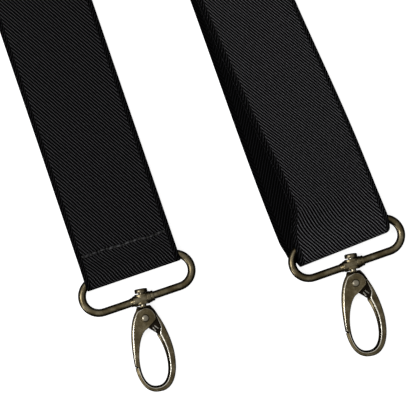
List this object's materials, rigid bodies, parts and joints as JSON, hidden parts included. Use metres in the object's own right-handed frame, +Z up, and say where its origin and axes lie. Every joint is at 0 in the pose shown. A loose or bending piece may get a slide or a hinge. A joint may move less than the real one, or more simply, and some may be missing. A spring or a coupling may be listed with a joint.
{
  "type": "trouser suspenders",
  "caption": "X-back suspenders of wide black twill elastic with a leather cross patch, slide adjusters and antique-bronze swivel trigger hooks, laid flat",
  "frame": {"origin": "bottom centre of the whole part as it lies flat on a table", "axes": "+Z up off the table, +Y from the hooks towards the shoulder folds, +X to the right with the back of the suspenders facing up"},
  "size_m": [0.478, 0.5223, 0.0198],
  "materials": {
    "webbing": "matt black twill elastic with a fine grey diagonal rib",
    "thread": "dark thread with a grey sheen",
    "patch_leather": "smooth dark leather",
    "antique_bronze": "antique bronze plating, worn brighter on the ridges",
    "dark_bronze": "darker antique bronze",
    "spring_steel": "plain spring wire"
  },
  "bodies": {
    "straps": {"back_strap_from_left": "webbing", "back_strap_from_right": "webbing", "shoulder_fold_left": "webbing", "shoulder_fold_right": "webbing", "end_stitching_right": "thread", "end_stitching_left": "thread", "cross_patch_front": "patch_leather", "cross_patch_back": "patch_leather", "patch_stitching": "thread", "front_strap_right": "webbing", "front_strap_left": "webbing"},
    "adjuster_right": {"adjuster_frame_right": "antique_bronze", "adjuster_tab_right": "webbing"},
    "front_loop_right": {"front_loop_right": "webbing", "near_ply_right": "webbing", "far_ply_right": "webbing"},
    "adjuster_left": {"adjuster_frame_left": "antique_bronze", "adjuster_tab_left": "webbing"},
    "front_loop_left": {"front_loop_left": "webbing", "near_ply_left": "webbing", "far_ply_left": "webbing"},
    "back_right_ring": {"back_ring_right": "antique_bronze"},
    "back_right_hook": {"back_swivel_pin_right": "dark_bronze", "back_hook_right": "antique_bronze", "back_rivet_right": "dark_bronze", "back_spring_right": "spring_steel"},
    "back_right_lever": {"back_lever_right": "antique_bronze"},
    "back_left_ring": {"back_ring_left": "antique_bronze"},
    "back_left_hook": {"back_swivel_pin_left": "dark_bronze", "back_hook_left": "antique_bronze", "back_rivet_left": "dark_bronze", "back_spring_left": "spring_steel"},
    "back_left_lever": {"back_lever_left": "antique_bronze"},
    "front_right_ring": {"front_ring_right": "antique_bronze"},
    "front_right_hook": {"front_swivel_pin_right": "dark_bronze", "front_hook_right": "antique_bronze", "front_rivet_right": "dark_bronze", "front_spring_right": "spring_steel"},
    "front_right_lever": {"front_lever_right": "antique_bronze"},
    "front_left_ring": {"front_ring_left": "antique_bronze"},
    "front_left_hook": {"front_swivel_pin_left": "dark_bronze", "front_hook_left": "antique_bronze", "front_rivet_left": "dark_bronze", "front_spring_left": "spring_steel"},
    "front_left_lever": {"front_lever_left": "antique_bronze"}
  },
  "joints": [
    {"name": "back_right_ring_pivot", "type": "hinge", "parent": "straps", "child": "back_right_ring", "pos_m": [0.1334, -0.21306, 0.00344], "axis": [-0.9461, -0.3239, 0], "range_deg": [0, 100]},
    {"name": "back_right_swivel", "type": "hinge", "parent": "back_right_ring", "child": "back_right_hook", "pos_m": [0.13758, -0.22526, 0.0031], "axis": [0.1684, -0.9854, -0.0258], "continuous": true},
    {"name": "back_right_lever_pivot", "type": "hinge", "parent": "back_right_hook", "child": "back_right_lever", "pos_m": [0.13883, -0.23255, 0.00291], "axis": [0.0085, -0.0248, 0.9997], "range_deg": [0, 26], "stiffness_Nm_per_rad": 0.02, "springref_deg": -17.19, "deforming": ["back_spring_right"]},
    {"name": "back_left_ring_pivot", "type": "hinge", "parent": "straps", "child": "back_left_ring", "pos_m": [-0.1334, -0.21306, 0.00344], "axis": [-0.9461, 0.3239, 0], "range_deg": [0, 100]},
    {"name": "back_left_swivel", "type": "hinge", "parent": "back_left_ring", "child": "back_left_hook", "pos_m": [-0.13758, -0.22526, 0.0031], "axis": [0.1684, 0.9854, 0.0258], "continuous": true},
    {"name": "back_left_lever_pivot", "type": "hinge", "parent": "back_left_hook", "child": "back_left_lever", "pos_m": [-0.13883, -0.23255, 0.00291], "axis": [0.0085, 0.0248, -0.9997], "range_deg": [0, 26], "stiffness_Nm_per_rad": 0.02, "springref_deg": -17.19, "deforming": ["back_spring_left"]},
    {"name": "front_right_ring_pivot", "type": "hinge", "parent": "front_loop_right", "child": "front_right_ring", "pos_m": [0.21423, -0.19959, 0.00365], "axis": [-0.9444, -0.3287, 0], "range_deg": [0, 85]},
    {"name": "front_right_swivel", "type": "hinge", "parent": "front_right_ring", "child": "front_right_hook", "pos_m": [0.21847, -0.21177, 0.00331], "axis": [0.1734, -0.9845, -0.0258], "continuous": true},
    {"name": "front_right_lever_pivot", "type": "hinge", "parent": "front_right_hook", "child": "front_right_lever", "pos_m": [0.21976, -0.21905, 0.00312], "axis": [0.0086, -0.0247, 0.9997], "range_deg": [0, 26], "stiffness_Nm_per_rad": 0.02, "springref_deg": -17.19, "deforming": ["front_spring_right"]},
    {"name": "front_left_ring_pivot", "type": "hinge", "parent": "front_loop_left", "child": "front_left_ring", "pos_m": [-0.21423, -0.19959, 0.00365], "axis": [-0.9444, 0.3287, 0], "range_deg": [0, 85]},
    {"name": "front_left_swivel", "type": "hinge", "parent": "front_left_ring", "child": "front_left_hook", "pos_m": [-0.21847, -0.21177, 0.00331], "axis": [0.1734, 0.9845, 0.0258], "continuous": true},
    {"name": "front_left_lever_pivot", "type": "hinge", "parent": "front_left_hook", "child": "front_left_lever", "pos_m": [-0.21976, -0.21905, 0.00312], "axis": [0.0086, 0.0247, -0.9997], "range_deg": [0, 26], "stiffness_Nm_per_rad": 0.02, "springref_deg": -17.19, "deforming": ["front_spring_left"]},
    {"name": "right_adjuster_slide", "type": "slide", "parent": "straps", "child": "adjuster_right", "axis": [-0.3696, 0.9292, 0], "range_m": [-0.06, 0.12], "deforming": ["front_strap_right"]},
    {"name": "right_loop_slide", "type": "slide", "parent": "adjuster_right", "child": "front_loop_right", "axis": [-0.3696, 0.9292, 0], "range_m": [-0.06, 0.03], "deforming": ["near_ply_right", "far_ply_right"]},
    {"name": "left_adjuster_slide", "type": "slide", "parent": "straps", "child": "adjuster_left", "axis": [0.3696, 0.9292, 0], "range_m": [-0.06, 0.12], "deforming": ["front_strap_left"]},
    {"name": "left_loop_slide", "type": "slide", "parent": "adjuster_left", "child": "front_loop_left", "axis": [0.3696, 0.9292, 0], "range_m": [-0.06, 0.03], "deforming": ["near_ply_left", "far_ply_left"]}
  ],
  "couplings": [
    {"joint": "right_loop_slide", "follows": "right_adjuster_slide", "ratio": -0.5},
    {"joint": "left_loop_slide", "follows": "left_adjuster_slide", "ratio": -0.5}
  ]
}
